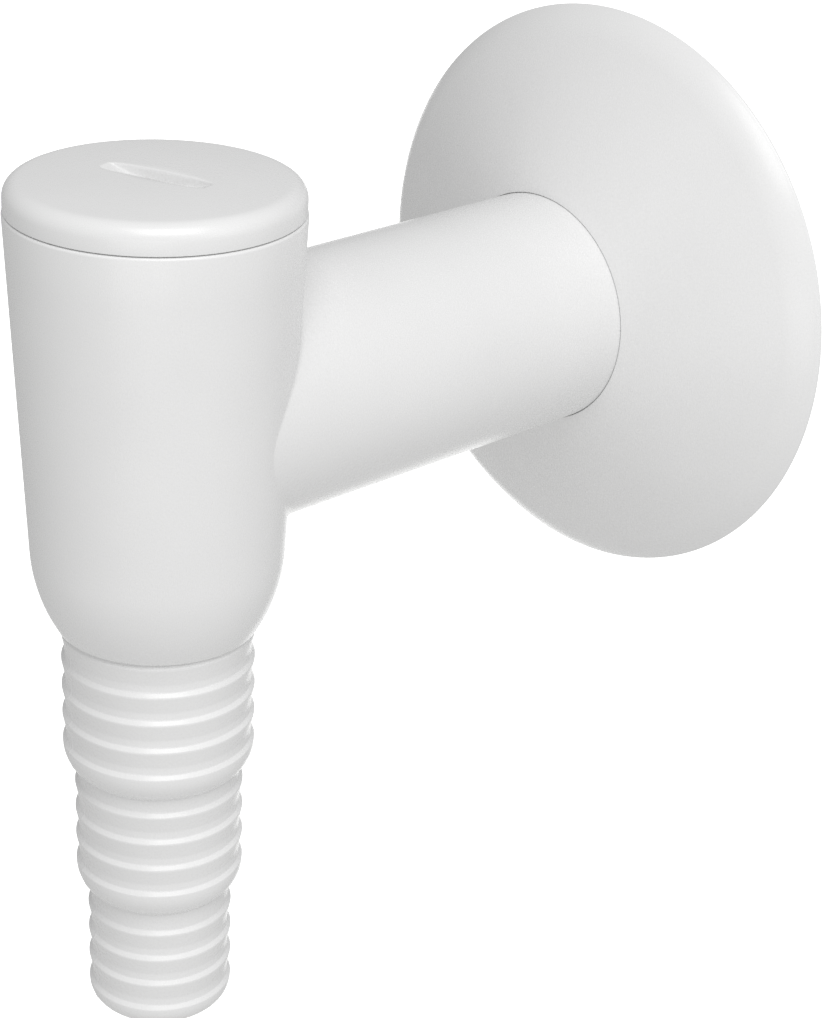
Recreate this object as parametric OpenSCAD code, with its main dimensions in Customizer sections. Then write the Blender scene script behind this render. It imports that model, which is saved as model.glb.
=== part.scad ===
// Wall connector for an appliance drain hose: a conical housing with a horizontal outlet tube,
// a ball check valve under a screw cap, a stepped hose tail below and a rosette at the wall.
// Origin: where the tube's axis meets the wall. +Y points into the wall, +Z is up.

/* [Housing] */
// Distance from the wall to the housing's upright axis
reach = 81; // [65:1:120]
// Outer radius of the housing at its rim
body_top_r = 18.4; // [18:0.1:22]
// Draft of the housing's outside, in degrees
body_draft = 2.9; // [1:0.1:4]
// Height of the housing's rim above the tube's axis
rim_h = 27.6; // [27:0.1:32]
// How far below the tube's axis the housing starts to round in
round_start = 16.9; // [15:0.1:18]
// Radius of the rounding at the housing's foot
foot_round = 22.2; // [18:0.1:26]
// How far below the tube's axis the housing ends
foot_depth = 27.3; // [26:0.1:30]
// Radius of the chamber at the ledge that carries the cage
chamber_top_r = 14.5; // [14.3:0.1:15]
// Wall of the housing at the start of its rounded foot
foot_wall = 2.2; // [1.8:0.1:3]
// Thickness of the chamber's floor
floor_t = 2.4; // [2:0.1:3]

/* [Outlet tube] */
// Outer radius of the visible tube
tube_r = 16.2; // [16.1:0.05:17]
// Outer radius of the spigot that goes into the wall pipe
spigot_r = 16; // [15:0.1:16]
// Bore radius of the tube
tube_bore_r = 14; // [13:0.05:14.1]
// How far the spigot reaches behind the wall's face
spigot_len = 18; // [12:1:40]

/* [Screw cap] */
// Thickness of the cap's head
cap_t = 3.7; // [2.5:0.1:5]
// How far the cap's top rises to its middle
cap_crown = 0.5; // [0.2:0.1:1]
// Rounding of the cap's edge
cap_round = 2.1; // [1:0.1:2.3]
// Radial wall of the cap's skirt
skirt_wall = 2; // [1.5:0.1:3]
// Angle of the coin slot, in degrees
slot_turn = 17; // [0:1:180]
// Width of the coin slot
slot_w = 3.2; // [1.6:0.1:4]
// Depth of the coin slot at its middle
slot_depth = 1.6; // [1:0.1:1.8]
// Radius of the coin that the slot fits
coin_r = 20; // [12:1:22]

/* [Thread] */
// Pitch of the cap's thread
pitch = 2.5; // [2:0.1:2.5]
// Radial height of each thread ridge
ridge_h = 0.8; // [0.5:0.1:0.9]
// Radial gap between a ridge and the wall that it faces
thread_gap = 0.2; // [0.1:0.05:0.3]

/* [Hose tail] */
// Crest radii of the three steps, from the top down
step_r = [12.5, 11.05, 9.6];
// Number of barbs on each step, from the top down
barbs = [5, 4, 4];
// Distance from a step's last barb to the next step's first, from the top down
step_gap = [6.4, 7];
// Height of a barb above the wall between barbs
barb_h = 0.45; // [0.2:0.05:0.6]
// Distance between barbs
barb_pitch = 3.97; // [3.8:0.01:5]
// Wall of the tail's smallest step at its barbs
tail_wall = 2.3; // [1.8:0.1:2.5]
// Bore radius of the tail above its smallest step
tail_bore_r = 8.3; // [8:0.1:8.5]
// Radius of the neck that turns in the housing's floor
neck_r = 10.82; // [10.7:0.02:10.9]

/* [Valve] */
// Radius of the valve ball
ball_r = 9.5; // [9:0.1:9.6]
// Bore radius of the rubber seat
seat_bore_r = 7.6; // [7:0.1:8]
// How far the ball can lift
ball_lift = 9; // [6:0.5:9]
// Thickness of the cage's fins
fin_t = 1.4; // [1:0.1:2]

/* [Rosette] */
// Radius of the rosette's rim
rosette_r = 40.7; // [36:0.1:50]
// Depth of the rosette from the wall to its collar
rosette_depth = 13; // [11:0.5:18]
// Rounding of the rosette's shoulder
shoulder_r = 12; // [8:0.5:14]
// Wall of the rosette
rosette_wall = 1.8; // [1.4:0.1:2.4]

/* [Fits] */
// Running gap between parts that turn on each other
run_gap = 0.07; // [0.04:0.01:0.1]
// Gap at faces that close on each other
seam_gap = 0.15; // [0.1:0.05:0.3]
// Gap round loose inner parts
loose_gap = 0.3; // [0.2:0.05:0.5]

/* [Hidden] */
$fn = 96;
over = 1;                 // how far a cut runs past the face that it opens

taper = tan(body_draft);
foot_cut_r = body_top_r - taper * (rim_h + round_start);
foot_cx = foot_cut_r - foot_round * cos(body_draft);
foot_cz = -round_start + foot_round * sin(body_draft);
foot_end = asin((foot_depth + foot_cz) / foot_round);

// Cap, thread and ring, from the rim down
bore_r = body_top_r - 2.4;
skirt_r = bore_r - ridge_h - thread_gap;
ledge_z = 16.2;
cage_ring_t = 1.8;
cage_ring_top = ledge_z + cage_ring_t;
skirt_bottom = cage_ring_top + loose_gap;
head_z = rim_h + seam_gap;
ridge_w = pitch * 0.36;
thread_turns = 1.75;
house_thread_z = skirt_bottom + 0.3;
cap_thread_z = house_thread_z + pitch / 2;
ring_w = 1.7;             // section of the cap's ring
groove_top = rim_h - 0.5;
groove_w = ring_w + 2 * run_gap;
groove_r = bore_r - ring_w - 2 * run_gap;

// Floor, neck and what sits on the neck
floor_z = -foot_depth + floor_t;
neck_bore_r = neck_r + run_gap;
neck_top = floor_z + 4;
shoulder_z = -foot_depth - seam_gap;
neck_ring_w = 1.3;        // section of the neck's ring
neck_groove_z = -foot_depth + 0.4;
neck_groove_r = neck_r - neck_ring_w - run_gap;
snap_t = 0.9;
snap_z = floor_z + 0.1;
snap_in_r = neck_r - 0.8;
snap_out_r = neck_r + 0.8;
chamber_foot_r = foot_cut_r - foot_wall;
chamber_floor_r = snap_out_r + 0.2;
seat_pocket_r = neck_r - 1.4;
seat_t = 2;
seat_z = neck_top - 1.8;
seat_top = seat_z + seat_t;
seat_chamfer = 0.9;
ball_z = seat_top - seat_chamfer + sqrt(ball_r * ball_r - seat_bore_r * seat_bore_r) + 0.05;

// Cage
cage_r = chamber_foot_r - 0.4;
cage_foot = -round_start - 0.5;
cage_foot_t = 2;
fin_in_r = ball_r + 0.5;
stop_z = ball_z + ball_r + ball_lift + 0.2;
stop_t = 1.8;
stop_in_r = 3.5;
post_w = 1.6;

// Tail
first_barb = shoulder_z - 0.85;
step_z = [first_barb, last_barb(0) - step_gap[0], last_barb(1) - step_gap[1]];
step_round = 4.7;
step_turn = 52.5;         // degrees that the round below each step turns through
step_drop = step_round * sin(step_turn);
land = 0.15;              // half the flat crest of a barb
barb_above = 0.7;
barb_below = 2.3;
end_round = 3.2;
tail_end = last_barb(2) - land - end_round;
end_bore_r = step_r[2] - tail_wall - 0.2;

// Rosette
collar_bore_r = tube_r + 0.2;
collar_t = 2.6;
collar_len = 5;
grip_in_r = tube_r + 0.05;
grip_t = 1.2;
grip_w = 2.2;
grip_y = rosette_depth - 3.4;
rim_edge = 0.3;
shoulder_from = 40;       // degrees along the shoulder's round, at the rim
shoulder_to = 63;         // and where the face goes on to the collar
face_bulge = 0.4;

// Height of the last barb of step i
function last_barb(i) = (i == 0 ? first_barb : last_barb(i - 1) - step_gap[i - 1]) - (barbs[i] - 1) * barb_pitch;

// Points along an arc of radius r about (cx, cz), from angle a to angle b
function arc(cx, cz, r, a, b, n = 12) =
    [for (i = [0:n]) let (t = a + (b - a) * i / n) [cx + r * cos(t), cz + r * sin(t)]];

// A ridge of trapezoid section that climbs a helix; it is rooted at root_r and ends at crest_r
module thread_ridge(root_r, crest_r, z0, turns, steps = 36) {
    n = round(turns * steps);
    section = [[root_r, -ridge_w / 2], [crest_r, -ridge_w / 4], [crest_r, ridge_w / 4], [root_r, ridge_w / 2]];
    points = [for (i = [0:n]) let (a = 360 * i / steps)
              for (s = section) [s[0] * cos(a), s[0] * sin(a), z0 + pitch * i / steps + s[1]]];
    sides = [for (i = [0:n - 1], k = [0:3]) let (j = (k + 1) % 4)
             [4 * i + k, 4 * i + j, 4 * i + 4 + j, 4 * i + 4 + k]];
    ends = [[3, 2, 1, 0], [4 * n, 4 * n + 1, 4 * n + 2, 4 * n + 3]];
    inward = crest_r < root_r;
    polyhedron(points, [for (f = concat(sides, ends)) inward ? [f[3], f[2], f[1], f[0]] : f]);
}

// Puts a shape made about the upright axis at the housing
module at_housing() translate([0, -reach, 0]) children();

// Turns a profile about the tube's axis: its x is the radius and its y the distance from the wall
module about_tube() rotate([90, 0, 0]) rotate_extrude() children();

module ring(centre_r, section, z) translate([0, 0, z]) rotate_extrude()
    translate([centre_r, 0]) circle(d = section);

module housing_outside() {
    edge = 0.4;
    rotate_extrude() polygon(concat(
        [[0, rim_h], [body_top_r - edge, rim_h], [body_top_r, rim_h - edge]],
        arc(foot_cx, foot_cz, foot_round, -body_draft, -foot_end),
        [[0, -foot_depth]]));
    rotate([-90, 0, 0]) cylinder(r = tube_r, h = reach - 1);
    rotate([-90, 0, 0]) cylinder(r = spigot_r, h = reach + spigot_len - 1);
    translate([0, reach + spigot_len - 1, 0]) rotate([-90, 0, 0]) cylinder(r1 = spigot_r, r2 = spigot_r - 0.6, h = 1);
}

module housing_inside() {
    rotate_extrude() polygon([
        [0, rim_h + over], [bore_r, rim_h + over], [bore_r, ledge_z], [chamber_top_r, ledge_z],
        [chamber_foot_r, -round_start], [chamber_foot_r - 0.5, floor_z + 5], [chamber_floor_r + 0.4, floor_z + 1.4],
        [chamber_floor_r, floor_z], [0, floor_z]]);
    translate([0, 0, -foot_depth - over]) cylinder(r = neck_bore_r, h = foot_depth);
    rotate([-90, 0, 0]) cylinder(r = tube_bore_r, h = reach + spigot_len + over);
}

module housing() color("white") at_housing() {
    difference() {
        housing_outside();
        housing_inside();
    }
    thread_ridge(bore_r + 0.3, bore_r - ridge_h, house_thread_z, thread_turns);
}

module cap() color("white") at_housing() {
    head_r = body_top_r - 0.15;
    flat_r = head_r - cap_round;
    head_top = head_z + cap_t;
    crown_r = (flat_r * flat_r + cap_crown * cap_crown) / (2 * cap_crown);
    slot_half = sqrt(coin_r * coin_r - (coin_r - slot_depth) * (coin_r - slot_depth));
    difference() {
        rotate_extrude() polygon(concat(
            [[0, head_z], [skirt_r - skirt_wall, head_z], [skirt_r - skirt_wall, skirt_bottom], [skirt_r, skirt_bottom],
             [skirt_r, groove_top - groove_w], [groove_r, groove_top - groove_w], [groove_r, groove_top],
             [skirt_r, groove_top], [skirt_r, head_z]],
            [[head_r, head_z]],
            arc(flat_r, head_top - cap_round, cap_round, 0, 90 - asin(flat_r / crown_r), 8),
            arc(0, head_top + cap_crown - crown_r, crown_r, 90 - asin(flat_r / crown_r), 90, 6)));
        rotate([0, 0, slot_turn]) translate([0, slot_w / 2, head_top + cap_crown + coin_r - slot_depth])
            rotate([90, 0, 0]) cylinder(r = coin_r, h = slot_w);
    }
    thread_ridge(skirt_r - 0.3, skirt_r + ridge_h, cap_thread_z, thread_turns);
    rotate([0, 0, slot_turn]) translate([-slot_half, -slot_w / 2 - 1, head_z - 1.3]) cube([2 * slot_half, slot_w + 2, 1.5]);
}

module cap_o_ring() color("dimgray") at_housing()
    ring(bore_r - run_gap - ring_w / 2, ring_w, groove_top - groove_w / 2);

module ball_cage() color("gainsboro") at_housing() {
    ring_r = bore_r - ridge_h - 0.1;
    difference() {
        translate([0, 0, ledge_z]) cylinder(r = ring_r, h = cage_ring_t);
        translate([0, 0, ledge_z - over]) cylinder(r = cage_r - post_w + 0.2, h = cage_ring_t + 2 * over);
    }
    difference() {
        translate([0, 0, cage_foot]) cylinder(r = cage_r, h = cage_foot_t);
        translate([0, 0, cage_foot - over]) cylinder(r = cage_r - 1.2, h = cage_foot_t + 2 * over);
    }
    difference() {
        translate([0, 0, stop_z]) cylinder(r = stop_in_r + 2, h = stop_t);
        translate([0, 0, stop_z - over]) cylinder(r = stop_in_r, h = stop_t + 2 * over);
    }
    fin_out_r = cage_r - 0.1;
    for (a = [45:90:315]) rotate([90, 0, a]) translate([0, 0, -fin_t / 2]) linear_extrude(fin_t) polygon([
        [fin_in_r, cage_foot + 0.4], [fin_out_r, cage_foot + 0.4], [fin_out_r, ledge_z + 1],
        [fin_out_r - post_w, ledge_z + 1], [fin_out_r - post_w, stop_z + stop_t - 0.2],
        [stop_in_r + 0.5, stop_z + stop_t - 0.2], [stop_in_r + 0.5, stop_z + 0.2], [fin_in_r, stop_z + 0.2]]);
}

module valve_ball() color("dimgray") at_housing() translate([0, 0, ball_z]) sphere(r = ball_r);

module valve_seat_ring() color("dimgray") at_housing() rotate_extrude() polygon([
    [seat_bore_r, seat_z], [seat_pocket_r - 0.05, seat_z], [seat_pocket_r - 0.05, seat_top],
    [seat_bore_r + seat_chamfer, seat_top], [seat_bore_r, seat_top - seat_chamfer]]);

// One barb's outline, steep on its upper side
function barb(r, z) = [[r - barb_h, z + land + barb_above], [r, z + land], [r, z - land],
                       [r - barb_h, z - land - barb_below]];

// A step's outline: its barbs, the last of which rounds in towards the next step
function step(i, r = step_round, turn = step_turn) = concat(
    [for (k = [0:barbs[i] - 2]) each barb(step_r[i], step_z[i] - k * barb_pitch)],
    [[step_r[i] - barb_h, last_barb(i) + land + barb_above], [step_r[i], last_barb(i) + land]],
    arc(step_r[i] - r, last_barb(i) - land, r, 0, -turn, 8));

module hose_tail() color("white") at_housing() {
    low_bore_top = step_z[2] + 2;
    difference() {
        rotate_extrude() polygon(concat(
            [[0, neck_top], [neck_r - 0.3, neck_top], [neck_r, neck_top - 0.3], [neck_r, snap_z + snap_t + 0.1],
             [snap_in_r - 0.05, snap_z + snap_t + 0.1], [snap_in_r - 0.05, snap_z - 0.05], [neck_r, snap_z - 0.05],
             [neck_r, neck_groove_z + neck_ring_w + 0.1], [neck_groove_r, neck_groove_z + neck_ring_w + 0.1],
             [neck_groove_r, neck_groove_z], [neck_r, neck_groove_z], [neck_r, shoulder_z]],
            step(0), [[step_r[1] - barb_h, last_barb(0) - land - step_drop]],
            step(1), [[step_r[2] - barb_h, last_barb(1) - land - step_drop]],
            step(2, end_round, 90), [[0, tail_end]]));
        translate([0, 0, tail_end - over]) cylinder(r = end_bore_r, h = neck_top - tail_end + 2 * over);
        translate([0, 0, low_bore_top]) cylinder(r = tail_bore_r, h = neck_top - low_bore_top + over);
        translate([0, 0, seat_z]) cylinder(r = seat_pocket_r, h = neck_top - seat_z + over);
    }
}

module tail_o_ring() color("dimgray") at_housing()
    ring(neck_r - neck_ring_w / 2, neck_ring_w, neck_groove_z + neck_ring_w / 2 + 0.05);

module tail_snap_ring() color("silver") at_housing() translate([0, 0, snap_z]) difference() {
    cylinder(r = snap_out_r, h = snap_t);
    translate([0, 0, -over]) cylinder(r = snap_in_r, h = snap_t + 2 * over);
    translate([0, -4, -over]) cube([2 * snap_out_r, 8, snap_t + 2 * over]);
}

// Outline of the rosette's face, from its rim to its collar, moved in by a wall's thickness
function face(inset) = let (
    cx = rosette_r - rim_edge - shoulder_r * cos(shoulder_from),
    cy = 2 * rim_edge - shoulder_r * sin(shoulder_from),
    r = shoulder_r - inset,
    from = inset > 0 ? asin(-cy / r) : shoulder_from,
    end = [cx + r * cos(shoulder_to), cy + r * sin(shoulder_to)],
    collar = [collar_bore_r, rosette_depth - inset],
    bend = (end + collar) / 2 + [0, 2 * face_bulge])
    concat(arc(cx, cy, r, from, shoulder_to, 8),
           [for (t = [1 / 8:1 / 8:1]) (1 - t) * (1 - t) * end + 2 * t * (1 - t) * bend + t * t * collar]);

module rosette() color("white") difference() {
    union() {
        about_tube() polygon(concat([[rosette_r, 0], [rosette_r, rim_edge]], face(0),
            let (inner = face(rosette_wall)) [for (i = [len(inner) - 1:-1:0]) inner[i]]));
        about_tube() translate([collar_bore_r, rosette_depth - collar_len]) square([collar_t, collar_len - 0.8]);
    }
    about_tube() translate([0, grip_y - grip_w / 2 - 0.1]) square([grip_in_r + grip_t + 0.1, grip_w + 0.2]);
}

module rosette_grip_ring() color("lightgray") about_tube()
    translate([grip_in_r, grip_y - grip_w / 2]) square([grip_t, grip_w]);

housing();
cap();
cap_o_ring();
ball_cage();
valve_ball();
valve_seat_ring();
hose_tail();
tail_o_ring();
tail_snap_ring();
rosette();
rosette_grip_ring();
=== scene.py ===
import logging
import math
from dataclasses import dataclass
from enum import Enum
from typing import Any, Callable, Sequence

import bmesh
import bpy
import numpy as np
from mathutils import Matrix, Vector


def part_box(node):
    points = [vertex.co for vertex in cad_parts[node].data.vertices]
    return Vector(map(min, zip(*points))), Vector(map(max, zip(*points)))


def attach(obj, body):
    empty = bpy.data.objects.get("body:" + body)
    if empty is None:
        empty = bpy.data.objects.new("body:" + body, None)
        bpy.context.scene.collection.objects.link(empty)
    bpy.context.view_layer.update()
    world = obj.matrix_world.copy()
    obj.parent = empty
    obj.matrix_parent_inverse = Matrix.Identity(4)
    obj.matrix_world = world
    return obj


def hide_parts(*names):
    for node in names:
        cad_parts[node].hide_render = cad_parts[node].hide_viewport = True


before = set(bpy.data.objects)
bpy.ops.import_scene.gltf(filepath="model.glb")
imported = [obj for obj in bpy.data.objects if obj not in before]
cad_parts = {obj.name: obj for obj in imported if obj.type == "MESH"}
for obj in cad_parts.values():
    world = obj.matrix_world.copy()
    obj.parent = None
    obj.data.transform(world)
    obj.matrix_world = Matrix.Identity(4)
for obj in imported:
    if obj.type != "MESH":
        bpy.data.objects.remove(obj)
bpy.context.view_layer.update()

MM = 0.001
WELD = 2e-6
SHARP_DEG = 32.0
STEP_DEG = 2.0
STRAIGHT_DEG = 89.5

THREAD_WIDTH = 0.36
THREAD_STEPS = 120
THREAD_FADE = 0.1
THREAD_FULLNESS = 0.7
THREAD_ROOT = 0.3
THREAD_START = 0.3

Array = np.ndarray
Point = tuple[float, ...]

log = logging.getLogger("drain_connector")


class Lip(Enum):
    """How softly an edge was left by its mould, as a radius in millimetres."""

    CRISP = 0.12
    EASED = 0.25
    SOFT = 0.35


class Shade(Enum):
    """The finishes' colours, as sRGB hex values."""

    ABS_LIGHT = "F3F3F3"
    ABS_DEEP = "EDEDED"
    PP_LIGHT = "E6E5DE"
    PP_DEEP = "D8D7CE"
    EPDM_LIGHT = "2B2B2C"
    EPDM_DEEP = "1B1B1C"
    TPE_LIGHT = "A2A4A6"
    TPE_DEEP = "8E9092"
    STEEL_LIGHT = "C4C2BE"
    STEEL_DEEP = "A5A39F"
    FLOOR = "F7F7F6"


# ---------------------------------------------------------------- curves and surfaces


def linear(shade: Shade) -> tuple[float, float, float, float]:
    """Turns an sRGB hex value to linear light, by the sRGB curve.

    Args:
        shade: the colour's name.

    Returns:
        Red, green, blue and alpha from 0 to 1.
    """
    parts = [int(shade.value[i : i + 2], 16) / 255 for i in (0, 2, 4)]
    return (*[c / 12.92 if c <= 0.04045 else ((c + 0.055) / 1.055) ** 2.4 for c in parts], 1.0)


def arc(centre: Point, radius: float, start: float, end: float, steps: int) -> Array:
    """Points on a circle: centre + radius * (cos a, sin a), with a going evenly from start to end.

    Args:
        centre: the circle's centre.
        radius: its radius.
        start: the first angle, in degrees.
        end: the last angle, in degrees.
        steps: how many equal parts the arc has.

    Returns:
        An array of steps + 1 points.
    """
    a = np.radians(np.linspace(start, end, steps + 1))
    return np.stack([centre[0] + radius * np.cos(a), centre[1] + radius * np.sin(a)], axis=1)


def rounded(corners: Sequence[Point], steps: int = 5) -> Array:
    """Rounds an outline's corners: each becomes a circle's arc that touches both of its sides.

    The touching points lie radius / tan(half the corner's angle) from the corner, and the circle's
    centre lies on the corner's bisector. A side is never used up past its middle.

    Args:
        corners: points, each with its corner's radius as a third value where it has one.
        steps: how many parts each arc has.

    Returns:
        The rounded outline's points.
    """
    points = [np.array(c[:2], float) for c in corners]
    out = [points[0][None]]
    for i in range(1, len(points) - 1):
        radius = corners[i][2] if len(corners[i]) > 2 else 0.0
        back, ahead = points[i - 1] - points[i], points[i + 1] - points[i]
        room = min(np.linalg.norm(back), np.linalg.norm(ahead)) / 2
        back, ahead = back / np.linalg.norm(back), ahead / np.linalg.norm(ahead)
        half = math.acos(float(np.clip(back @ ahead, -1, 1))) / 2
        if radius == 0.0 or half > math.radians(STRAIGHT_DEG):
            out.append(points[i][None])
            continue
        reach = min(radius / math.tan(half), room)
        radius = reach * math.tan(half)
        bisector = (back + ahead) / np.linalg.norm(back + ahead)
        centre = points[i] + bisector * radius / math.sin(half)
        first, last = points[i] + back * reach - centre, points[i] + ahead * reach - centre
        out.append(between(centre, first, last, steps))
    out.append(points[-1][None])
    return np.concatenate(out)


def between(centre: Array, first: Array, last: Array, steps: int) -> Array:
    """Points round a centre from the arm first to the arm last, turning evenly between them.

    An arm at part t is (sin((1 - t) w) first + sin(t w) last) / sin w, where w is the angle between
    the arms.

    Args:
        centre: the centre, or one centre for each pair of arms.
        first: the first arm, or one for each centre.
        last: the last arm, or one for each centre.
        steps: how many equal parts the turn has.

    Returns:
        Points with the turn along the first axis.
    """
    size = np.linalg.norm(first, axis=-1, keepdims=True) * np.linalg.norm(last, axis=-1, keepdims=True)
    w = np.arccos(np.clip((first * last).sum(-1, keepdims=True) / size, -1, 1))
    t = np.linspace(0, 1, steps + 1).reshape((-1,) + (1,) * first.ndim)
    return centre + (np.sin((1 - t) * w) * first + np.sin(t * w) * last) / np.sin(w)


def upright(profile: Array, angles: Array, axis_y: float) -> Array:
    """Turns a profile about the housing's upright axis: (r cos a, axis_y + r sin a, z).

    Args:
        profile: rows of radius and height.
        angles: the angles a, in radians.
        axis_y: where the axis stands.

    Returns:
        A grid of points, with the profile down its rows and the angles along its columns.
    """
    r, z = profile[:, 0, None], profile[:, 1, None]
    flat = np.zeros_like(angles)
    return np.stack([r * np.cos(angles), axis_y + r * np.sin(angles), z + flat], axis=-1)


def level(profile: Array, angles: Array) -> Array:
    """Turns a profile about the outlet's level axis: (r cos a, y, r sin a).

    Args:
        profile: rows of radius and place along +Y.
        angles: the angles a, in radians.

    Returns:
        A grid of points, with the profile down its rows and the angles along its columns.
    """
    r, y = profile[:, 0, None], profile[:, 1, None]
    return np.stack([r * np.cos(angles), y + np.zeros_like(angles), r * np.sin(angles)], axis=-1)


def full_turn(start_deg: float = 0.0, step_deg: float = STEP_DEG) -> Array:
    """Angles once round in equal steps, without the last one that would repeat the first.

    Args:
        start_deg: the first angle, in degrees.
        step_deg: the step between two angles, in degrees.

    Returns:
        Angles in radians.
    """
    return np.radians(start_deg + np.arange(0.0, 360.0, step_deg))


def turn_with_seams(seams_deg: Sequence[float]) -> Array:
    """Angles once round, close together at each parting line so that its fine ridge has a shape.

    Args:
        seams_deg: where the parting lines are, in degrees.

    Returns:
        Sorted angles in radians.
    """
    fine = [seam + np.linspace(-3.0, 3.0, 17) for seam in seams_deg]
    return np.radians(np.unique(np.round(np.concatenate([np.arange(0.0, 360.0, 2.0), *fine]) % 360.0, 4)))


def thread(root: float, crest: float, low: float, pitch: float, turns: float, axis_y: float) -> Array:
    """A thread's ridge: a rounded section that climbs by one pitch a turn and fades out at both ends.

    At turn u the section's middle is at height low + pitch u, and its width is THREAD_WIDTH of the pitch.
    The section's points go from its foot at the root radius over a raised cosine to the crest radius, and
    height and width shrink to nothing over the first and last tenth of a turn.

    Args:
        root: radius of the ridge's foot, inside the wall that carries it.
        crest: radius of its top.
        low: height at which it starts.
        pitch: climb in one turn.
        turns: how far it goes.
        axis_y: where the axis stands.

    Returns:
        A grid with one row for each step along the thread, which wraps round the section.
    """
    width = pitch * THREAD_WIDTH
    u = np.linspace(0.0, turns, int(turns * THREAD_STEPS) + 1)[:, None]
    fade = np.clip(np.minimum(u, turns - u) / THREAD_FADE, 0.0, 1.0)
    v = np.linspace(-1.0, 1.0, 11)
    rise = np.cos(np.pi / 2 * v) ** THREAD_FULLNESS
    r = root + (crest - root) * fade * np.append(rise, 0.0)
    z = low + pitch * u + width / 2 * fade * np.append(v, 0.0)
    a = 2 * np.pi * u
    return np.stack([r * np.cos(a), axis_y + r * np.sin(a), z], axis=-1)


class Surface:
    """Grids of points, in millimetres, that are joined into one closed mesh."""

    def __init__(self) -> None:
        """Starts with no points."""
        self.points: list[Array] = []
        self.faces: list[Array] = []
        self.count = 0

    def add(self, grid: Array, wrap: bool = False) -> "Surface":
        """Adds a grid, with a face between each four neighbours.

        Args:
            grid: rows by columns by three.
            wrap: whether the last column joins the first.

        Returns:
            The surface itself.
        """
        rows, cols = grid.shape[:2]
        i = np.arange(rows - 1)[:, None]
        j = np.arange(cols if wrap else cols - 1)[None, :]
        k = (j + 1) % cols
        corners = [i * cols + j, i * cols + k, (i + 1) * cols + k, (i + 1) * cols + j]
        self.faces.append(np.stack(corners, axis=-1).reshape(-1, 4) + self.count)
        self.points.append(grid.reshape(-1, 3))
        self.count += rows * cols
        return self

    def piece(
        self, name: str, material: bpy.types.Material, body: str, slot: str, *nodes: str
    ) -> bpy.types.Object:
        """Welds the grids, points their faces outwards and makes the piece.

        Args:
            name: the piece's name.
            material: its finish.
            body: the body that it rides on.
            slot: the record's material slot; not used.
            nodes: the CAD nodes that it stands for.

        Returns:
            The new object, at the origin.
        """
        mesh = bpy.data.meshes.new(name)
        mesh.from_pydata(np.concatenate(self.points) * MM, [], np.concatenate(self.faces))
        work = bmesh.new()
        work.from_mesh(mesh)
        bmesh.ops.remove_doubles(work, verts=work.verts, dist=WELD)
        bmesh.ops.dissolve_degenerate(work, dist=WELD, edges=work.edges)
        bmesh.ops.recalc_face_normals(work, faces=work.faces)
        open_edges = sum(1 for e in work.edges if len(e.link_faces) != 2)
        work.to_mesh(mesh)
        work.free()
        mesh.polygons.foreach_set("use_smooth", [True] * len(mesh.polygons))
        mesh.set_sharp_from_angle(angle=math.radians(SHARP_DEG))
        mesh.materials.append(material)
        piece = bpy.data.objects.new(name, mesh)
        bpy.context.scene.collection.objects.link(piece)
        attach(piece, body)
        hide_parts(*nodes)
        log.info("%s: %d faces, %d open edges, rides on %s", name, len(mesh.polygons), open_edges, body)
        return piece


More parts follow.
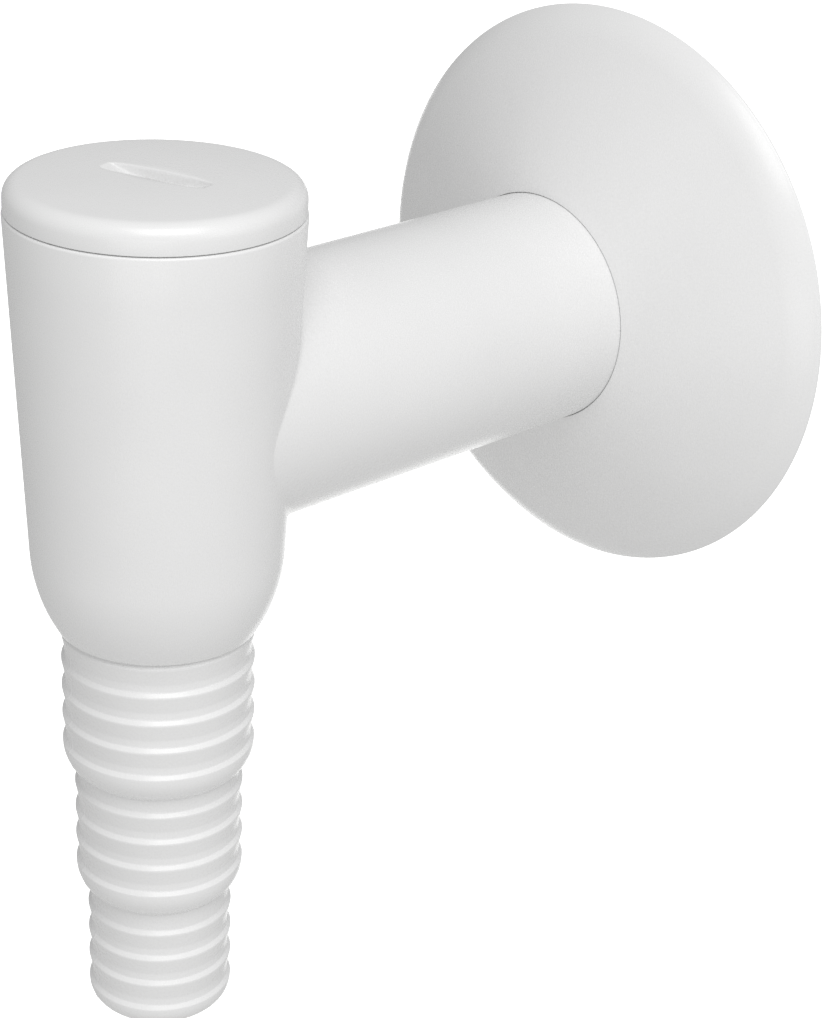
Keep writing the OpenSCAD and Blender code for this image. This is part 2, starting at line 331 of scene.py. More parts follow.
@dataclass(frozen=True)
class BranchedWall:
    """A wall turned about the upright axis, with a round branch that leaves it towards +Y.

    The wall round the branch is worked out in the plane of angle and height, as rings that go from a
    rectangle to the line where the branch's fillet touches the wall. The rectangle reaches as far above
    the branch's axis as below it, and two walls with the same rows share their branch angles.
    """

    radius: Callable[[Any], Array]
    high: float
    branch_r: float
    fillet: float
    axis_y: float
    half_deg: float = 100.0
    rows: int = 44
    rings: int = 18

    def start_deg(self) -> float:
        """The angle at which the rectangle's +X side stands.

        Returns:
            An angle in degrees.
        """
        return 90.0 - self.half_deg

    def rim(self) -> tuple[Array, Array]:
        """The rectangle's outline, once round, from its low corner on the +X side.

        Returns:
            Angles in degrees, and heights.
        """
        across = np.arange(self.start_deg(), 90.0 + self.half_deg, STEP_DEG)
        up = np.linspace(-self.high, self.high, self.rows + 1)[:-1]
        side, end = np.full_like(up, self.start_deg()), np.full_like(across, self.high)
        deg = np.concatenate([side, across, 180.0 - side, 180.0 - across])
        return deg, np.concatenate([up, end, -up, -end])

    def branch_angles(self) -> Array:
        """The angle round the branch that goes with each point of the rectangle.

        Returns:
            Angles in radians, from the +X side and upwards.
        """
        deg, z = self.rim()
        return np.arctan2(1.25 * z / self.high, 1.3 * (90.0 - deg) / self.half_deg)

    def touch(self, a: Array) -> tuple[Array, Array, Array]:
        """Where a ball that rolls in the corner touches the wall and the branch.

        The ball's centre lies one fillet radius off both: its distance from the branch's axis is
        branch_r + fillet, and its distance from the upright axis is the wall's radius there plus the
        fillet along the wall's normal.

        Args:
            a: angles round the branch.

        Returns:
            The ball's centres, the touching points on the wall, and those on the branch.
        """
        x = (self.branch_r + self.fillet) * np.cos(a)
        z = (self.branch_r + self.fillet) * np.sin(a)
        foot = z
        for _ in range(6):
            slope = (self.radius(foot + 0.01) - self.radius(foot - 0.01)) / 0.02
            out, up = 1 / np.hypot(1, slope), -slope / np.hypot(1, slope)
            foot = z - self.fillet * up
        reach = self.radius(foot) + self.fillet * out
        y = np.sqrt(reach**2 - x**2)
        share = self.radius(foot) / reach
        centre = np.stack([x, y + self.axis_y, z], axis=-1)
        wall = np.stack([x * share, y * share + self.axis_y, foot], axis=-1)
        branch = np.stack([self.branch_r * np.cos(a), y + self.axis_y, self.branch_r * np.sin(a)], axis=-1)
        return centre, wall, branch

    def add_to(self, surface: "Surface") -> Array:
        """Adds the wall, the fillet and the front of the wall to a surface.

        Args:
            surface: the surface that takes them.

        Returns:
            The closed line on the branch where its own grid starts, one point for each branch angle.
        """
        deg, z = self.rim()
        centre, wall, branch = self.touch(self.branch_angles())
        at_wall = np.degrees(np.arctan2(wall[:, 1] - self.axis_y, wall[:, 0]))
        deg = np.where(deg - at_wall > 180.0, deg - 360.0, deg)
        t = np.linspace(0.0, 1.0, self.rings)[:, None]
        angle = np.radians((1 - t) * deg + t * at_wall)
        height = (1 - t) * z + t * wall[:, 2]
        r = self.radius(height)
        sheet = np.stack([r * np.cos(angle), self.axis_y + r * np.sin(angle), height], axis=-1)
        surface.add(sheet, wrap=True)
        if self.fillet > 0.0:
            surface.add(between(centre, wall - centre, branch - centre, 6), wrap=True)
        up = np.linspace(-self.high, self.high, self.rows + 1)
        front = np.radians(np.arange(90.0 + self.half_deg, 450.0 - self.half_deg + 0.1, STEP_DEG))
        surface.add(upright(np.stack([self.radius(up), up], axis=1), front, self.axis_y))
        return branch


# ---------------------------------------------------------------- finishes


def node(tree: bpy.types.NodeTree, kind: str, links: dict[Any, Any], **settings: Any) -> bpy.types.Node:
    """Adds a shader node.

    Args:
        tree: the node tree.
        kind: the node's type.
        links: what each input takes: another node's output socket, or a plain value.
        settings: the node's own properties.

    Returns:
        The new node.
    """
    new = tree.nodes.new(kind)
    for key, value in settings.items():
        setattr(new, key, value)
    for key, value in links.items():
        if isinstance(value, bpy.types.NodeSocket):
            tree.links.new(value, new.inputs[key])
        else:
            new.inputs[key].default_value = value
    return new


@dataclass(frozen=True)
class Finish:
    """A moulded or worked surface: two close colours in soft clouds, and a fine and a broad unevenness.

    Sizes are in millimetres: cloud is the width of the colour's clouds, wave that of the slow ripple
    that a mould's polish leaves, and grain that of the fine texture. Their bumps are heights.
    """

    name: str
    light: Shade
    deep: Shade
    roughness: float
    rough_spread: float
    ior: float
    cloud: float
    wave: float
    wave_bump: float
    grain: float
    grain_bump: float
    metallic: float = 0.0
    subsurface: float = 0.0

    def make(self) -> bpy.types.Material:
        """Builds the node material.

        Returns:
            The material, on Object coordinates in metres.
        """
        material = bpy.data.materials.new(self.name)
        material.use_nodes = True
        tree = material.node_tree
        tree.nodes.clear()
        place = node(tree, "ShaderNodeTexCoord", {}).outputs["Object"]
        clouds, wave, grain = (
            node(
                tree,
                "ShaderNodeTexNoise",
                {"Vector": place, "Scale": 1 / (size * MM), "Detail": detail},
            ).outputs["Fac"]
            for size, detail in ((self.cloud, 3.0), (self.wave, 1.0), (self.grain, 2.0))
        )
        colour = node(
            tree,
            "ShaderNodeMix",
            {"Factor": clouds, 6: linear(self.light), 7: linear(self.deep)},
            data_type="RGBA",
        ).outputs[2]
        rough = node(
            tree,
            "ShaderNodeMapRange",
            {
                "Value": grain,
                "From Min": 0.3,
                "From Max": 0.7,
                "To Min": self.roughness - self.rough_spread,
                "To Max": self.roughness + self.rough_spread,
            },
        ).outputs["Result"]
        slow = node(
            tree, "ShaderNodeBump", {"Height": wave, "Distance": self.wave_bump * MM, "Strength": 1.0}
        )
        fine = node(
            tree,
            "ShaderNodeBump",
            {
                "Height": grain,
                "Distance": self.grain_bump * MM,
                "Strength": 1.0,
                "Normal": slow.outputs["Normal"],
            },
        )
        shader = node(
            tree,
            "ShaderNodeBsdfPrincipled",
            {
                "Base Color": colour,
                "Roughness": rough,
                "IOR": self.ior,
                "Metallic": self.metallic,
                "Subsurface Weight": self.subsurface,
                "Subsurface Scale": 0.8 * MM,
                "Normal": fine.outputs["Normal"],
            },
        )
        node(tree, "ShaderNodeOutputMaterial", {"Surface": shader.outputs["BSDF"]})
        return material


# Injection-moulded ABS from a polished mould: a clean white with a broad soft gloss, which the mould's
# slow ripple breaks up a little.
MOULDED_ABS = Finish(
    name="moulded_white_abs",
    light=Shade.ABS_LIGHT,
    deep=Shade.ABS_DEEP,
    roughness=0.28,
    rough_spread=0.03,
    ior=1.53,
    cloud=14.0,
    wave=5.0,
    wave_bump=0.012,
    grain=0.5,
    grain_bump=0.0015,
)
# Natural polypropylene: waxy and milky, with light going a little way in.
MOULDED_PP = Finish(
    name="moulded_natural_pp",
    light=Shade.PP_LIGHT,
    deep=Shade.PP_DEEP,
    roughness=0.45,
    rough_spread=0.05,
    ior=1.49,
    cloud=9.0,
    wave=3.0,
    wave_bump=0.01,
    grain=0.35,
    grain_bump=0.003,
    subsurface=0.15,
)
# Moulded EPDM rubber: nearly black, dull, with a bloom that lifts it here and there.
MOULDED_EPDM = Finish(
    name="moulded_black_epdm",
    light=Shade.EPDM_LIGHT,
    deep=Shade.EPDM_DEEP,
    roughness=0.6,
    rough_spread=0.08,
    ior=1.52,
    cloud=5.0,
    wave=2.0,
    wave_bump=0.008,
    grain=0.3,
    grain_bump=0.006,
)
# Thermoplastic elastomer: a grippy mid grey with no shine.
MOULDED_TPE = Finish(
    name="moulded_grey_tpe",
    light=Shade.TPE_LIGHT,
    deep=Shade.TPE_DEEP,
    roughness=0.7,
    rough_spread=0.05,
    ior=1.5,
    cloud=4.0,
    wave=1.5,
    wave_bump=0.006,
    grain=0.25,
    grain_bump=0.006,
)
# Rolled stainless spring wire: a bright grey metal whose rolling marks blur what it mirrors.
ROLLED_STAINLESS = Finish(
    name="rolled_stainless_wire",
    light=Shade.STEEL_LIGHT,
    deep=Shade.STEEL_DEEP,
    roughness=0.3,
    rough_spread=0.08,
    ior=1.5,
    cloud=3.0,
    wave=1.2,
    wave_bump=0.002,
    grain=0.2,
    grain_bump=0.002,
    metallic=1.0,
)


# ---------------------------------------------------------------- the connector's parts


@dataclass(frozen=True)
class Datum:
    """The places that every part shares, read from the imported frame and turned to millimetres."""

    axis_y: float
    rim: float
    foot: float
    body_r: float
    spigot_end: float
    cap_low: float
    cap_top: float
    tail_low: float
    tail_high: float
    rosette_r: float
    rosette_front: float

    @staticmethod
    def read() -> "Datum":
        """Reads the boxes of the nodes that set each place.

        Returns:
            The places, in millimetres.
        """
        box = {name: np.array(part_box(name)) / MM for name in ("housing", "cap", "hose_tail", "rosette")}
        axis_y = float(box["cap"][:, 1].mean())
        return Datum(
            axis_y=axis_y,
            rim=box["housing"][1, 2],
            foot=box["housing"][0, 2],
            body_r=float(axis_y - box["housing"][0, 1]),
            spigot_end=box["housing"][1, 1],
            cap_low=box["cap"][0, 2],
            cap_top=box["cap"][1, 2],
            tail_low=box["hose_tail"][0, 2],
            tail_high=box["hose_tail"][1, 2],
            rosette_r=box["rosette"][1, 0],
            rosette_front=box["rosette"][0, 1],
        )


@dataclass
class Housing:
    """The conical bowl with its outlet tube, one moulding, open inside for the valve and the water."""

    at: Datum
    draft_deg: float = 2.9
    round_start: float = -16.9
    foot_round: float = 22.2
    bore_r: float = 16.0
    ledge: float = 16.2
    chamber_top_r: float = 14.5
    chamber_foot_r: float = 13.946
    floor: float = -24.9
    floor_r: float = 11.82
    neck_bore_r: float = 10.89
    tube_r: float = 16.2
    tube_step_y: float = -1.0
    spigot_r: float = 16.0
    spigot_chamfer: float = 0.6
    tube_bore_r: float = 14.0
    junction_fillet: float = 1.2
    pitch: float = 2.5
    thread_turns: float = 1.75
    ridge: float = 0.8

    def outside(self, z: Array) -> Array:
        """The bowl's outer radius at a height: a cone down to round_start, and a circle below it.

        The cone loses tan(draft) of radius for each millimetre down. The circle touches the cone, so its
        centre is foot_round from the cone's lower end, along the cone's normal.

        Args:
            z: heights.

        Returns:
            A radius for each height.
        """
        draft = math.radians(self.draft_deg)
        cone = self.at.body_r - math.tan(draft) * (self.at.rim - z)
        start_r = self.at.body_r - math.tan(draft) * (self.at.rim - self.round_start)
        centre_r = start_r - self.foot_round * math.cos(draft)
        centre_z = self.round_start + self.foot_round * math.sin(draft)
        circle = centre_r + np.sqrt(np.maximum(self.foot_round**2 - (z - centre_z) ** 2, 0.0))
        return np.where(z > self.round_start, cone, circle)

    def chamber(self, z: Array) -> Array:
        """The chamber's radius at a height: a cone that goes evenly from the ledge to round_start.

        Args:
            z: heights.

        Returns:
            A radius for each height.
        """
        part = (self.ledge - z) / (self.ledge - self.round_start)
        return self.chamber_top_r + (self.chamber_foot_r - self.chamber_top_r) * part

    def build(self, material: bpy.types.Material) -> bpy.types.Object:
        """Builds the housing as one closed skin with its thread.

        The outside and the chamber are walls with a branch. Turned profiles close them over the rim and
        over the foot, and the tube's own profile runs from one branch line to the other.

        Args:
            material: its finish.

        Returns:
            The finished piece.
        """
        at, skin = self.at, Surface()
        outer = BranchedWall(self.outside, 21.5, self.tube_r, self.junction_fillet, at.axis_y)
        inner = BranchedWall(self.chamber, 15.4, self.tube_bore_r, 0.0, at.axis_y)
        outer_line, inner_line = outer.add_to(skin), inner.add_to(skin)
        turn = full_turn(outer.start_deg())
        top = rounded(
            [
                (float(self.outside(outer.high)), outer.high),
                (at.body_r, at.rim, Lip.SOFT.value),
                (self.bore_r, at.rim, Lip.EASED.value),
                (self.bore_r, self.ledge, Lip.EASED.value),
                (self.chamber_top_r, self.ledge, Lip.CRISP.value),
                (float(self.chamber(inner.high)), inner.high),
            ]
        )
        skin.add(upright(top, turn, at.axis_y), wrap=True)
        foot_z = np.linspace(at.foot + 1.0, -outer.high, 8)
        foot_r = self.outside(foot_z)
        bottom = rounded(
            [
                (float(self.chamber(-inner.high)), -inner.high),
                (self.chamber_foot_r, self.round_start, 1.0),
                (self.chamber_foot_r - 0.5, self.floor + 5.0, 1.0),
                (self.floor_r + 0.4, self.floor + 1.4, 0.5),
                (self.floor_r, self.floor),
                (self.neck_bore_r, self.floor, Lip.CRISP.value),
                (self.neck_bore_r, at.foot, Lip.CRISP.value),
                (float(self.outside(at.foot)), at.foot, Lip.EASED.value),
                *((float(r), float(z)) for r, z in zip(foot_r, foot_z)),
            ]
        )
        skin.add(upright(bottom, turn, at.axis_y), wrap=True)
        end = at.spigot_end
        tube = level(
            rounded(
                [
                    (self.tube_r, self.tube_step_y - 4.0),
                    (self.tube_r, self.tube_step_y, Lip.CRISP.value),
                    (self.spigot_r, self.tube_step_y),
                    (self.spigot_r, end - 1.0, 0.4),
                    (self.spigot_r - self.spigot_chamfer, end, Lip.CRISP.value),
                    (self.tube_bore_r, end, Lip.CRISP.value),
                    (self.tube_bore_r, end - 4.0),
                ]
            ),
            outer.branch_angles(),
        )
        skin.add(tube, wrap=True)
        t = np.linspace(0.0, 1.0, 25)[:, None, None]
        for line, ring in ((outer_line, tube[0]), (inner_line, tube[-1])):
            skin.add((1 - t) * line + t * ring, wrap=True)
        root, crest = self.bore_r + THREAD_ROOT, self.bore_r - self.ridge
        low = at.cap_low + THREAD_START
        skin.add(thread(root, crest, low, self.pitch, self.thread_turns, at.axis_y), wrap=True)
        return skin.piece("housing_moulding", material, "housing", "abs_white", "housing")


# How the slot's lip falls: pairs of a distance outside its outline, and the share of the drop taken there.
LIP_START = 0.3
SLOT_LIP = (
    (0.2, 0.02),
    (0.1, 0.07),
    (0.03, 0.15),
    (-0.02, 0.27),
    (-0.06, 0.5),
    (-0.1, 0.8),
    (-0.15, 0.92),
    (-0.24, 0.985),
    (-0.36, 1.0),
)


@dataclass
class Cap:
    """The screw cap: a slightly crowned head with a coin slot, and a threaded skirt with a ring's groove."""

    at: Datum
    head_r: float = 18.25
    head_low: float = 27.75
    crown: float = 0.5
    edge_round: float = 2.1
    skirt_r: float = 15.0
    skirt_wall: float = 2.0
    groove_top: float = 27.1
    groove_w: float = 1.84
    groove_r: float = 14.16
    slot_deg: float = 17.0
    slot_half_w: float = 1.6
    slot_depth: float = 1.6
    coin_r: float = 20.0
    boss_drop: float = 1.3
    boss_margin: float = 1.0
    boss_sink: float = 0.15
    pitch: float = 2.5
    thread_turns: float = 1.75
    ridge: float = 0.8

    def crown_z(self, r: Array) -> Array:
        """Height of the crowned top: a sphere's cap through the flat's edge and the cap's highest point.

        The sphere's radius is (flat_r^2 + crown^2) / (2 crown).

        Args:
            r: distance from the axis.

        Returns:
            A height for each distance.
        """
        flat_r = self.head_r - self.edge_round
        ball = (flat_r**2 + self.crown**2) / (2 * self.crown)
        return self.at.cap_top - ball + np.sqrt(ball**2 - r**2)

    def top(self, ring: Array, angles: Array) -> tuple[Array, Array]:
        """The top, from the head's round inwards, over the slot's lip and down to its floor.

        The slot's outline is a superellipse, (|u| / a)^4 + (|v| / b)^4 = 1, along the slot's own u and v.
        Rings step over its lip. Their drop is a share of the full drop to the floor, and the floor is the
        circle of the coin: cap_top - depth + coin_r - sqrt(coin_r^2 - u^2).

        Args:
            ring: the head's last ring of points.
            angles: the angles of its points.

        Returns:
            The grid down to the floor's edge, and the floor.
        """
        half_l = math.sqrt(self.coin_r**2 - (self.coin_r - self.slot_depth) ** 2)
        t = angles - math.radians(self.slot_deg)

        def outline(grow: float) -> Array:
            """The slot's outline, grown outwards.

            Args:
                grow: by how much.

            Returns:
                Flat points, in the slot's own u and v.
            """
            a, b = half_l + grow, self.slot_half_w + grow
            r = (np.abs(np.cos(t) / a) ** 4 + np.abs(np.sin(t) / b) ** 4) ** -0.25
            return np.stack([r * np.cos(t), r * np.sin(t)], axis=-1)

        def lifted(flat: Array, share: float) -> Array:
            """Puts flat points on the top, or part of the way down to the slot's floor.

            Args:
                flat: points in the slot's own u and v.
                share: how much of the drop to the floor they take.

            Returns:
                Points in the part's frame.
            """
            r = np.hypot(flat[:, 0], flat[:, 1])
            u = np.minimum(np.abs(flat[:, 0]), half_l)
            floor = self.at.cap_top - self.slot_depth + self.coin_r - np.sqrt(self.coin_r**2 - u**2)
            z = self.crown_z(r) - share * np.maximum(self.crown_z(r) - floor, 0.0)
            c, s = math.cos(math.radians(self.slot_deg)), math.sin(math.radians(self.slot_deg))
            x, y = c * flat[:, 0] - s * flat[:, 1], s * flat[:, 0] + c * flat[:, 1]
            return np.stack([x, self.at.axis_y + y, z], axis=-1)

        start_r = math.hypot(ring[0, 0], ring[0, 1] - self.at.axis_y)
        edge = np.stack([start_r * np.cos(t), start_r * np.sin(t)], axis=-1)
        rim = outline(LIP_START)
        rows = [ring, *(lifted((1 - k) * edge + k * rim, 0.0) for k in np.linspace(0.08, 1.0, 12))]
        rows += [lifted(outline(grow), share) for grow, share in SLOT_LIP]
        last = outline(SLOT_LIP[-1][0])
        floor = [lifted(last * np.array([1.0, k]), 1.0) for k in (1.0, 0.66, 0.33, 0.0)]
        return np.array(rows), np.array(floor)

    def build(self, material: bpy.types.Material) -> bpy.types.Object:
        """Builds the cap as one closed skin with its thread and the pad under the slot.

        Args:
            material: its finish.

        Returns:
            The finished piece.
        """
        at, skin = self.at, Surface()
        flat_r, head_top = self.head_r - self.edge_round, at.cap_top - self.crown
        inner_r = self.skirt_r - self.skirt_wall
        shoulder = arc((flat_r, head_top - self.edge_round), self.edge_round, 88.0, 0.0, 10)
        under = rounded(
            [
                tuple(shoulder[-1]),
                (self.head_r, self.head_low, Lip.CRISP.value),
                (self.skirt_r, self.head_low, Lip.CRISP.value),
                (self.skirt_r, self.groove_top, Lip.CRISP.value),
                (self.groove_r, self.groove_top, Lip.CRISP.value),
                (self.groove_r, self.groove_top - self.groove_w, Lip.CRISP.value),
                (self.skirt_r, self.groove_top - self.groove_w, Lip.CRISP.value),
                (self.skirt_r, at.cap_low, Lip.EASED.value),
                (inner_r, at.cap_low, Lip.EASED.value),
                (inner_r, self.head_low, Lip.SOFT.value),
                (0.0, self.head_low),
            ],
            steps=4,
        )
        angles = full_turn(self.slot_deg, 1.0)
        body = upright(np.concatenate([shoulder[:-1], under]), angles, at.axis_y)
        skin.add(body, wrap=True)
        for grid in self.top(body[0], angles):
            skin.add(grid, wrap=True)
        root, crest = self.skirt_r - THREAD_ROOT, self.skirt_r + self.ridge
        low = at.cap_low + THREAD_START + self.pitch / 2
        skin.add(thread(root, crest, low, self.pitch, self.thread_turns, at.axis_y), wrap=True)
        self.add_pad(skin)
        return skin.piece("screw_cap", material, "cap", "abs_white", "cap")

    def add_pad(self, skin: Surface) -> None:
        """Adds the pad that backs the slot from below: a rectangle's rings, taken down and then closed.

        Args:
            skin: the cap's surface.
        """
        half_l = math.sqrt(self.coin_r**2 - (self.coin_r - self.slot_depth) ** 2)
        half_w = self.slot_half_w + self.boss_margin
        unit = np.array([(1, 0), (1, 1), (-1, 1), (-1, -1), (1, -1)], float)
        turn = math.radians(self.slot_deg)
        rows = []
        low, high = self.head_low - self.boss_drop, self.head_low + self.boss_sink
        shut = -half_l - 1.0
        top, edge = ((shut, high), (0.0, high)), ((0.0, low + 0.3), (-0.1, low + 0.1), (-0.3, low))
        for grow, z in (*top, *edge, (shut, low)):
            u = unit[:, 0] * max(half_l + grow, 0.0)
            v = unit[:, 1] * max(half_w + grow, 0.0)
            x, y = math.cos(turn) * u - math.sin(turn) * v, math.sin(turn) * u + math.cos(turn) * v
            rows.append(np.stack([x, self.at.axis_y + y, np.full_like(x, z)], axis=-1))
        skin.add(np.array(rows), wrap=True)


@dataclass
class HoseTail:
    """The stepped hose tail: three barbed steps below a neck that turns in the housing's floor."""

    at: Datum
    steps_r: tuple[float, ...] = (12.5, 11.05, 9.6)
    first_barbs: tuple[float, ...] = (-28.3, -50.58, -69.49)
    barbs: tuple[int, ...] = (5, 4, 4)
    barb_pitch: float = 3.97
    barb_h: float = 0.45
    step_round: float = 4.7
    step_turn: float = 52.5
    neck_r: float = 10.82
    shoulder: float = -27.45
    bore_r: float = 8.3
    end_bore_r: float = 7.1
    seat_z: float = -22.7
    seat_r: float = 9.42
    partings_deg: tuple[float, ...] = (-106.0, 74.0)
    parting_h: float = 0.05
    parting_deg: float = 0.6

    def step(self, i: int) -> list[Point]:
        """One step's outline from the top down: barbs with a steep upper side, and a round below the last.

        Args:
            i: which step, from the top.

        Returns:
            Corners of radius, height and rounding.
        """
        r, valley = self.steps_r[i], self.steps_r[i] - self.barb_h
        out: list[Point] = []
        for k in range(self.barbs[i]):
            z = self.first_barbs[i] - k * self.barb_pitch
            out += [(valley, z + 0.65, 0.3), (r, z + 0.12, 0.18)]
            if k < self.barbs[i] - 1:
                out += [(r, z - 0.12, 0.4), (valley, z - 2.3, 1.6)]
        last = i == len(self.steps_r) - 1
        size, sweep = (z - 0.15 - self.at.tail_low, 90.0) if last else (self.step_round, self.step_turn)
        curve = arc((r - size, z - 0.15), size, 0.0, -sweep, 9)
        out += [(float(p[0]), float(p[1])) for p in curve]
        if not last:
            out.append((self.steps_r[i + 1] - self.barb_h, float(curve[-1][1]), 0.2))
        return out

    def build(self, material: bpy.types.Material) -> bpy.types.Object:
        """Builds the tail as one closed turned skin, with the fine ridge of the mould's parting.

        The ridge adds parting_h * exp(-(d / parting_deg)^2) to the outer radius, where d is the angle in
        degrees from the parting line.

        Args:
            material: its finish.

        Returns:
            The finished piece.
        """
        at, n, neck = self.at, self.neck_r, self.shoulder + 0.15
        valley = [(self.steps_r[0] - self.barb_h, self.shoulder, Lip.CRISP.value)]
        steps = [*self.step(0)[1:], *self.step(1), *self.step(2)]
        outside = [(n, self.shoulder, Lip.CRISP.value), *valley, *steps]
        inside = [
            (self.end_bore_r, at.tail_low, Lip.EASED.value),
            (self.end_bore_r, self.first_barbs[2] + 2.0, Lip.CRISP.value),
            (self.bore_r, self.first_barbs[2] + 2.0, Lip.CRISP.value),
            (self.bore_r, self.seat_z, Lip.CRISP.value),
            (self.seat_r, self.seat_z, Lip.CRISP.value),
            (self.seat_r, at.tail_high, Lip.CRISP.value),
            (n - 0.3, at.tail_high, Lip.CRISP.value),
            (n, at.tail_high - 0.3, Lip.CRISP.value),
            (n, neck + 3.5),
            (n - 0.85, neck + 3.5, Lip.CRISP.value),
            (n - 0.85, neck + 2.45, Lip.CRISP.value),
            (n, neck + 2.45),
            (n, neck + 1.8),
            (n - 1.37, neck + 1.8, Lip.CRISP.value),
            (n - 1.37, neck + 0.4, Lip.CRISP.value),
            (n, neck + 0.4),
            (n, self.shoulder),
        ]
        profile = rounded([*outside, *inside], steps=3)
        angles = turn_with_seams(self.partings_deg)
        grid = upright(profile, angles, at.axis_y)
        away = np.degrees(angles)[:, None] - np.array(self.partings_deg)
        away = np.abs((away + 180.0) % 360.0 - 180.0).min(axis=1)
        outer = ((profile[:, 1] < self.shoulder - 1.0) & (profile[:, 0] > self.bore_r + 0.4))[:, None]
        lift = outer * self.parting_h * np.exp(-((away / self.parting_deg) ** 2))
        grid[..., 0] += lift * np.cos(angles)
        grid[..., 1] += lift * np.sin(angles)
        skin = Surface().add(grid, wrap=True)
        return skin.piece("stepped_hose_tail", material, "hose_tail", "abs_white", "hose_tail")


@dataclass
class Rosette:
    """The wall rosette: a thin dished disc that closes on the tube with a collar and a ring's groove."""

    at: Datum
    shoulder_r: float = 12.0
    from_deg: float = 40.0
    to_deg: float = 63.0
    bulge: float = 0.4
    wall: float = 1.8
    rim_edge: float = 0.3
    collar_r: float = 16.27
    collar_t: float = 2.73
    collar_len: float = 5.0
    groove_r: float = 17.55
    groove_from: float = 8.4
    groove_to: float = 10.8

    def face(self, inset: float) -> Array:
        """The face's outline: a circle's arc over the shoulder, and a bent line to the collar.

        The line is a quadratic curve, (1 - t)^2 P + 2 t (1 - t) Q + t^2 C, whose middle point Q is raised
        by twice the bulge.

        Args:
            inset: how far the outline is moved into the wall.

        Returns:
            Rows of radius and depth, from the rim to the collar.
        """
        a, b = math.radians(self.from_deg), math.radians(self.to_deg)
        cx = self.at.rosette_r - self.rim_edge - self.shoulder_r * math.cos(a)
        cy = 2 * self.rim_edge - self.shoulder_r * math.sin(a)
        r = self.shoulder_r - inset
        start = math.degrees(math.asin(-cy / r)) if inset > 0 else self.from_deg
        end = np.array([cx + r * math.cos(b), cy + r * math.sin(b)])
        collar = np.array([self.collar_r, -self.at.rosette_front - inset])
        bend = (end + collar) / 2 + np.array([0.0, 2 * self.bulge])
        t = np.linspace(0.0, 1.0, 21)[1:, None]
        line = (1 - t) ** 2 * end + 2 * t * (1 - t) * bend + t**2 * collar
        return np.concatenate([arc((cx, cy), r, start, self.to_deg, 16), line])

    def build(self, material: bpy.types.Material) -> bpy.types.Object:
        """Builds the rosette as one closed turned skin.

        Args:
            material: its finish.

        Returns:
            The finished piece.
        """
        front, back = self.face(0.0), self.face(self.wall)
        depth = -self.at.rosette_front
        collar_out = self.collar_r + self.collar_t
        back = back[back[:, 0] > collar_out]
        crisp = Lip.CRISP.value
        profile = rounded(
            [
                (self.at.rosette_r - 1.2, 0.0),
                (self.at.rosette_r, 0.0, crisp),
                (self.at.rosette_r, self.rim_edge, 0.5),
                (float(front[0, 0]), float(front[0, 1]), 0.5),
                *((float(x), float(y)) for x, y in front[1:-1]),
                (self.collar_r, depth, Lip.CRISP.value),
                (self.collar_r, self.groove_to, crisp),
                (self.groove_r, self.groove_to, crisp),
                (self.groove_r, self.groove_from, crisp),
                (self.collar_r, self.groove_from, crisp),
                (self.collar_r, depth - self.collar_len, crisp),
                (collar_out, depth - self.collar_len, crisp),
                (collar_out, float(back[-1, 1]), Lip.EASED.value),
                *((float(x), float(y)) for x, y in back[::-1]),
                (self.at.rosette_r - 1.2, 0.0),
            ],
            steps=4,
        )
        profile[:, 1] *= -1.0
        skin = Surface().add(level(profile, full_turn()), wrap=True)
        return skin.piece("wall_rosette", material, "rosette", "abs_white", "rosette")


def dress_inner_parts(finishes: dict[str, bpy.types.Material]) -> None:
    """Gives the parts inside, which stay as their CAD shapes, the finish of what they are made from.

    Args:
        finishes: a material for each node.
    """
    for name, material in finishes.items():
        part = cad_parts[name]
        part.data.materials.clear()
        part.data.materials.append(material)
        log.info("%s: CAD shape in %s", name, material.name)


# ---------------------------------------------------------------- the studio


@dataclass(frozen=True)
class Softbox:
    """A rectangular studio light that faces a point.

    Distances are in metres. Its direction is given as an azimuth from the -Y side towards +X, and an
    elevation, both in degrees.
    """

    name: str
    azimuth: float
    elevation: float
    distance: float
    width: float
    height: float
    watts: float

    def place(self, target: Vector) -> None:
        """Adds the light to the scene.

        Args:
            target: the point that it faces.
        """
        light = bpy.data.lights.new(self.name, "AREA")
        light.shape = "RECTANGLE"
        light.size, light.size_y, light.energy = self.width, self.height, self.watts
        a, e = math.radians(self.azimuth), math.radians(self.elevation)
        back = Vector((math.sin(a) * math.cos(e), -math.cos(a) * math.cos(e), math.sin(e)))
        lamp = bpy.data.objects.new(self.name, light)
        lamp.location = target + back * self.distance
        lamp.rotation_euler = back.to_track_quat("Z", "Y").to_euler()
        bpy.context.scene.collection.objects.link(lamp)


LIGHTS = (
    Softbox("key_right", 100.0, 25.0, 0.9, 0.5, 0.7, 0.7),
    Softbox("key_high", 60.0, 55.0, 0.9, 0.6, 0.6, 4.2),
    Softbox("under_front", 40.0, -8.0, 0.9, 0.7, 0.4, 1.0),
)
LIGHT_TARGET = (0.0, -0.05, -0.02)
WORLD_STRENGTH = 0.42
FLOOR_Z = -1.0
FLOOR_GLOW = 0.12
FLOOR_HALF = 6.0
BACKDROP_GLOW = 1.0
BACKDROP_HALF = (0.4, 0.45)
BACKDROP_AWAY = 1.6


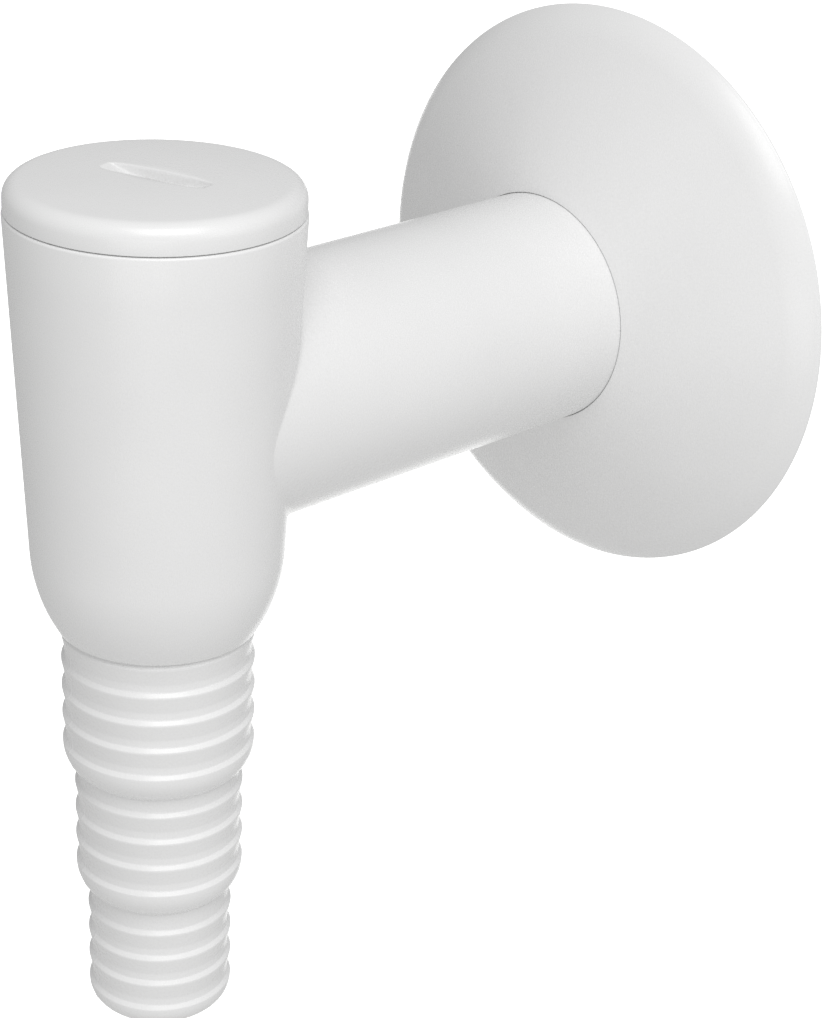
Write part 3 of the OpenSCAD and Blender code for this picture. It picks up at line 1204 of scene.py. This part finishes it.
def add_sheet(name: str, corners: Sequence[Vector], glow: float) -> None:
    """Adds a flat sheet of matte studio paint, which isn't part of the object.

    Args:
        name: its name.
        corners: its four corners, in metres.
        glow: how strongly it is lit from inside.
    """
    paint = bpy.data.materials.new(name + "_matte_paint")
    paint.use_nodes = True
    shader = paint.node_tree.nodes["Principled BSDF"]
    shader.inputs["Base Color"].default_value = linear(Shade.FLOOR)
    shader.inputs["Roughness"].default_value = 0.9
    shader.inputs["Specular IOR Level"].default_value = 0.0
    shader.inputs["Emission Color"].default_value = (1.0, 1.0, 1.0, 1.0)
    shader.inputs["Emission Strength"].default_value = glow
    mesh = bpy.data.meshes.new(name)
    mesh.from_pydata(list(corners), [], [(0, 1, 2, 3)])
    mesh.materials.append(paint)
    sheet = bpy.data.objects.new(name, mesh)
    bpy.context.scene.collection.objects.link(sheet)


def add_studio() -> None:
    """Adds the lights, the even surround, the pale floor and the lit backdrop behind the part."""
    scene = bpy.context.scene
    for softbox in LIGHTS:
        softbox.place(Vector(LIGHT_TARGET))
    world = bpy.data.worlds.new("surround")
    world.use_nodes = True
    world.node_tree.nodes["Background"].inputs["Color"].default_value = (1.0, 1.0, 1.0, 1.0)
    world.node_tree.nodes["Background"].inputs["Strength"].default_value = WORLD_STRENGTH
    scene.world = world
    signs = ((-1, -1), (1, -1), (1, 1), (-1, 1))
    floor = [Vector((FLOOR_HALF * i, FLOOR_HALF * j, FLOOR_Z)) for i, j in signs]
    add_sheet("studio_floor", floor, FLOOR_GLOW)
    half_x, half_y = BACKDROP_HALF
    view = scene.camera.matrix_world
    backdrop = [view @ Vector((half_x * i, half_y * j, -BACKDROP_AWAY)) for i, j in signs]
    add_sheet("studio_backdrop", backdrop, BACKDROP_GLOW)
    scene.view_settings.view_transform = "Standard"
    scene.view_settings.look = "None"


CAMERA_PLACE = (0.22722, -0.26275, 0.12087)
CAMERA_ANGLES_DEG = (45.035, 24.414, 2.289)
CAMERA_LENS = 89.286


def add_camera() -> None:
    """Adds the camera: above the part, to its front and its +X side, turned a little about its own line."""
    az, el, roll = (math.radians(angle) for angle in CAMERA_ANGLES_DEG)
    back = Vector((math.sin(az) * math.cos(el), -math.cos(az) * math.cos(el), math.sin(el)))
    right = Vector((math.cos(az), math.sin(az), 0.0))
    up = back.cross(right)
    x_axis = math.cos(roll) * right + math.sin(roll) * up
    y_axis = math.cos(roll) * up - math.sin(roll) * right
    data = bpy.data.cameras.new("camera")
    data.sensor_fit = "VERTICAL"
    data.sensor_height = 36.0
    data.lens = CAMERA_LENS
    data.clip_start, data.clip_end = 0.01, 20.0
    camera = bpy.data.objects.new("camera", data)
    turn = Matrix((x_axis, y_axis, back)).transposed().to_4x4()
    camera.matrix_world = Matrix.Translation(Vector(CAMERA_PLACE)) @ turn
    bpy.context.scene.collection.objects.link(camera)
    bpy.context.scene.camera = camera


def main() -> None:
    """Builds the connector over its CAD frame, and the studio round it."""
    logging.basicConfig(level=logging.INFO, format="%(message)s")
    at = Datum.read()
    abs_white = MOULDED_ABS.make()
    for part in (Housing(at), Cap(at), HoseTail(at), Rosette(at)):
        part.build(abs_white)
    rubber = MOULDED_EPDM.make()
    dress_inner_parts(
        {
            "ball_cage": MOULDED_PP.make(),
            "valve_ball": rubber,
            "valve_seat_ring": rubber,
            "cap_o_ring": rubber,
            "tail_o_ring": rubber,
            "rosette_grip_ring": MOULDED_TPE.make(),
            "tail_snap_ring": ROLLED_STAINLESS.make(),
        }
    )
    add_camera()
    add_studio()


if __name__ == "__main__":
    main()
